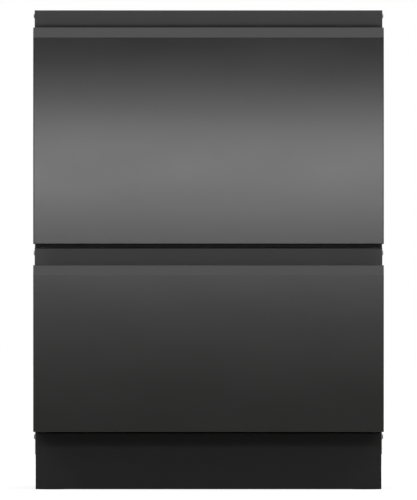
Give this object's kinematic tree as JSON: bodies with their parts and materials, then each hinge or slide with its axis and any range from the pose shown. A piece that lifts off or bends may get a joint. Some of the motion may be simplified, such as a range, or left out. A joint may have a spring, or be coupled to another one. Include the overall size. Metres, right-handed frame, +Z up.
{
  "type": "double dishwasher drawer",
  "caption": "Under-bench dishwasher of two pull-out wash drawers with dark steel fronts, wire racks, lids and a steel chassis.",
  "frame": {"origin": "centre of the footprint on the floor", "axes": "+X to the right seen from the front, -Y is the front, +Z up"},
  "size_m": [0.599, 0.573, 0.82],
  "materials": {
    "dark_steel": "dark satin brushed steel",
    "kick": "satin black",
    "galvanised": "galvanised steel sheet",
    "runner_steel": "zinc plated steel",
    "frame_plastic": "moulded, fine grain",
    "tub_plastic": "moulded grey",
    "lid_plastic": "moulded grey",
    "seal_rubber": "soft black",
    "rack_coating": "nylon coated wire",
    "basket_plastic": "moulded dark grey",
    "spray_plastic": "moulded grey",
    "filter_plastic": "moulded grey",
    "dispenser_plastic": "moulded dark grey",
    "cap_plastic": "moulded blue",
    "motor_plastic": "glass filled black",
    "button_plastic": "satin grey",
    "foot_plastic": "glass filled grey",
    "valve_plastic": "white nylon",
    "hose_rubber": "grey hose",
    "link_plastic": "moulded black"
  },
  "bodies": {
    "chassis": {"side_panel_left": "galvanised", "side_panel_right": "galvanised", "back_panel": "galvanised", "base_tray": "galvanised", "cross_rails": "galvanised", "kick_panel": "kick", "fixed_rails": "runner_steel", "lid_actuators": "motor_plastic", "control_module": "motor_plastic", "inlet_valve": "valve_plastic", "drain_outlet": "motor_plastic", "service_hoses": "hose_rubber"},
    "foot_front_left": {"foot_front_left": "foot_plastic"},
    "foot_front_right": {"foot_front_right": "foot_plastic"},
    "foot_rear_left": {"foot_rear_left": "foot_plastic"},
    "foot_rear_right": {"foot_rear_right": "foot_plastic"},
    "upper_drawer": {"upper_front_skin": "dark_steel", "upper_front_frame": "frame_plastic", "upper_console": "dark_steel", "upper_tub": "tub_plastic", "upper_rack": "rack_coating", "upper_cutlery_basket": "basket_plastic", "upper_filter": "filter_plastic", "upper_wash_motor": "motor_plastic", "upper_dispenser": "dispenser_plastic", "upper_inner_rails": "runner_steel"},
    "upper_middle_rails": {"upper_middle_rails": "runner_steel"},
    "upper_lid": {"upper_lid": "lid_plastic", "upper_lid_seal": "seal_rubber"},
    "upper_power_button": {"upper_power_button": "button_plastic"},
    "upper_start_button": {"upper_start_button": "button_plastic"},
    "upper_tine_row": {"upper_tine_row": "rack_coating"},
    "upper_cup_rack": {"upper_cup_rack": "basket_plastic"},
    "upper_spray_arm": {"upper_spray_arm": "spray_plastic"},
    "upper_dispenser_flap": {"upper_dispenser_flap": "dispenser_plastic"},
    "upper_rinse_cap": {"upper_rinse_cap": "cap_plastic"},
    "upper_link_rear_arm": {"upper_link_rear_arm": "link_plastic"},
    "upper_link_front_arm": {"upper_link_front_arm": "link_plastic"},
    "lower_drawer": {"lower_front_skin": "dark_steel", "lower_front_frame": "frame_plastic", "lower_console": "dark_steel", "lower_tub": "tub_plastic", "lower_rack": "rack_coating", "lower_cutlery_basket": "basket_plastic", "lower_filter": "filter_plastic", "lower_wash_motor": "motor_plastic", "lower_dispenser": "dispenser_plastic", "lower_inner_rails": "runner_steel"},
    "lower_middle_rails": {"lower_middle_rails": "runner_steel"},
    "lower_lid": {"lower_lid": "lid_plastic", "lower_lid_seal": "seal_rubber"},
    "lower_power_button": {"lower_power_button": "button_plastic"},
    "lower_start_button": {"lower_start_button": "button_plastic"},
    "lower_tine_row": {"lower_tine_row": "rack_coating"},
    "lower_cup_rack": {"lower_cup_rack": "basket_plastic"},
    "lower_spray_arm": {"lower_spray_arm": "spray_plastic"},
    "lower_dispenser_flap": {"lower_dispenser_flap": "dispenser_plastic"},
    "lower_rinse_cap": {"lower_rinse_cap": "cap_plastic"},
    "lower_link_rear_arm": {"lower_link_rear_arm": "link_plastic"},
    "lower_link_front_arm": {"lower_link_front_arm": "link_plastic"}
  },
  "joints": [
    {"name": "foot_front_left_screw", "type": "slide", "parent": "chassis", "child": "foot_front_left", "axis": [0, 0, -1], "range_m": [0, 0.06]},
    {"name": "foot_front_right_screw", "type": "slide", "parent": "chassis", "child": "foot_front_right", "axis": [0, 0, -1], "range_m": [0, 0.06]},
    {"name": "foot_rear_left_screw", "type": "slide", "parent": "chassis", "child": "foot_rear_left", "axis": [0, 0, -1], "range_m": [0, 0.06]},
    {"name": "foot_rear_right_screw", "type": "slide", "parent": "chassis", "child": "foot_rear_right", "axis": [0, 0, -1], "range_m": [0, 0.06]},
    {"name": "upper_drawer_slide", "type": "slide", "parent": "chassis", "child": "upper_drawer", "axis": [0, -1, 0], "range_m": [0, 0.527]},
    {"name": "upper_middle_rail_slide", "type": "slide", "parent": "chassis", "child": "upper_middle_rails", "axis": [0, -1, 0], "range_m": [0, 0.264]},
    {"name": "upper_lid_lift", "type": "slide", "parent": "chassis", "child": "upper_lid", "axis": [0, 0, -1], "range_m": [0, 0.008]},
    {"name": "upper_power_press", "type": "slide", "parent": "upper_drawer", "child": "upper_power_button", "axis": [0, 0, -1], "range_m": [0, 0.001], "stiffness_N_per_m": 800},
    {"name": "upper_start_press", "type": "slide", "parent": "upper_drawer", "child": "upper_start_button", "axis": [0, 0, -1], "range_m": [0, 0.001], "stiffness_N_per_m": 800},
    {"name": "upper_tine_fold", "type": "hinge", "parent": "upper_drawer", "child": "upper_tine_row", "pos_m": [0, -0.07, 0.5163], "axis": [1, 0, 0], "range_deg": [0, 85]},
    {"name": "upper_cup_rack_fold", "type": "hinge", "parent": "upper_drawer", "child": "upper_cup_rack", "pos_m": [0.23795, 0.012, 0.656], "axis": [0, -1, 0], "range_deg": [0, 90]},
    {"name": "upper_spray_spin", "type": "hinge", "parent": "upper_drawer", "child": "upper_spray_arm", "pos_m": [0, 0.012, 0.478], "axis": [0, 0, 1], "continuous": true},
    {"name": "upper_dispenser_flap_hinge", "type": "hinge", "parent": "upper_drawer", "child": "upper_dispenser_flap", "pos_m": [-0.036, -0.2133, 0.6882], "axis": [-1, 0, 0], "range_deg": [0, 90]},
    {"name": "upper_rinse_cap_turn", "type": "hinge", "parent": "upper_drawer", "child": "upper_rinse_cap", "pos_m": [0.042, -0.2157, 0.7182], "axis": [0, 1, 0], "range_deg": [0, 90]},
    {"name": "upper_link_rear_hinge", "type": "hinge", "parent": "chassis", "child": "upper_link_rear_arm", "pos_m": [-0.205, 0.271, 0.43], "axis": [0, 0, -1], "range_deg": [0, 39.3]},
    {"name": "upper_link_elbow", "type": "hinge", "parent": "upper_link_rear_arm", "child": "upper_link_front_arm", "pos_m": [0.21495, 0.2645, 0.442], "axis": [0, 0, 1], "range_deg": [0, 78.6]},
    {"name": "lower_drawer_slide", "type": "slide", "parent": "chassis", "child": "lower_drawer", "axis": [0, -1, 0], "range_m": [0, 0.527]},
    {"name": "lower_middle_rail_slide", "type": "slide", "parent": "chassis", "child": "lower_middle_rails", "axis": [0, -1, 0], "range_m": [0, 0.264]},
    {"name": "lower_lid_lift", "type": "slide", "parent": "chassis", "child": "lower_lid", "axis": [0, 0, -1], "range_m": [0, 0.008]},
    {"name": "lower_power_press", "type": "slide", "parent": "lower_drawer", "child": "lower_power_button", "axis": [0, 0, -1], "range_m": [0, 0.001], "stiffness_N_per_m": 800},
    {"name": "lower_start_press", "type": "slide", "parent": "lower_drawer", "child": "lower_start_button", "axis": [0, 0, -1], "range_m": [0, 0.001], "stiffness_N_per_m": 800},
    {"name": "lower_tine_fold", "type": "hinge", "parent": "lower_drawer", "child": "lower_tine_row", "pos_m": [0, -0.07, 0.1953], "axis": [1, 0, 0], "range_deg": [0, 85]},
    {"name": "lower_cup_rack_fold", "type": "hinge", "parent": "lower_drawer", "child": "lower_cup_rack", "pos_m": [0.23795, 0.012, 0.267], "axis": [0, -1, 0], "range_deg": [0, 90]},
    {"name": "lower_spray_spin", "type": "hinge", "parent": "lower_drawer", "child": "lower_spray_arm", "pos_m": [0, 0.012, 0.157], "axis": [0, 0, 1], "continuous": true},
    {"name": "lower_dispenser_flap_hinge", "type": "hinge", "parent": "lower_drawer", "child": "lower_dispenser_flap", "pos_m": [-0.036, -0.2133, 0.2822], "axis": [-1, 0, 0], "range_deg": [0, 90]},
    {"name": "lower_rinse_cap_turn", "type": "hinge", "parent": "lower_drawer", "child": "lower_rinse_cap", "pos_m": [0.042, -0.2157, 0.3122], "axis": [0, 1, 0], "range_deg": [0, 90]},
    {"name": "lower_link_rear_hinge", "type": "hinge", "parent": "chassis", "child": "lower_link_rear_arm", "pos_m": [-0.205, 0.271, 0.109], "axis": [0, 0, -1], "range_deg": [0, 39.3]},
    {"name": "lower_link_elbow", "type": "hinge", "parent": "lower_link_rear_arm", "child": "lower_link_front_arm", "pos_m": [0.21495, 0.2645, 0.121], "axis": [0, 0, 1], "range_deg": [0, 78.6]}
  ],
  "couplings": [
    {"joint": "upper_middle_rail_slide", "follows": "upper_drawer_slide", "ratio": 0.5},
    {"joint": "upper_link_rear_hinge", "follows": "upper_drawer_slide", "rad_per_m": 1.2955},
    {"joint": "upper_link_elbow", "follows": "upper_drawer_slide", "rad_per_m": 2.5911},
    {"joint": "lower_middle_rail_slide", "follows": "lower_drawer_slide", "ratio": 0.5},
    {"joint": "lower_link_rear_hinge", "follows": "lower_drawer_slide", "rad_per_m": 1.2955},
    {"joint": "lower_link_elbow", "follows": "lower_drawer_slide", "rad_per_m": 2.5911}
  ]
}
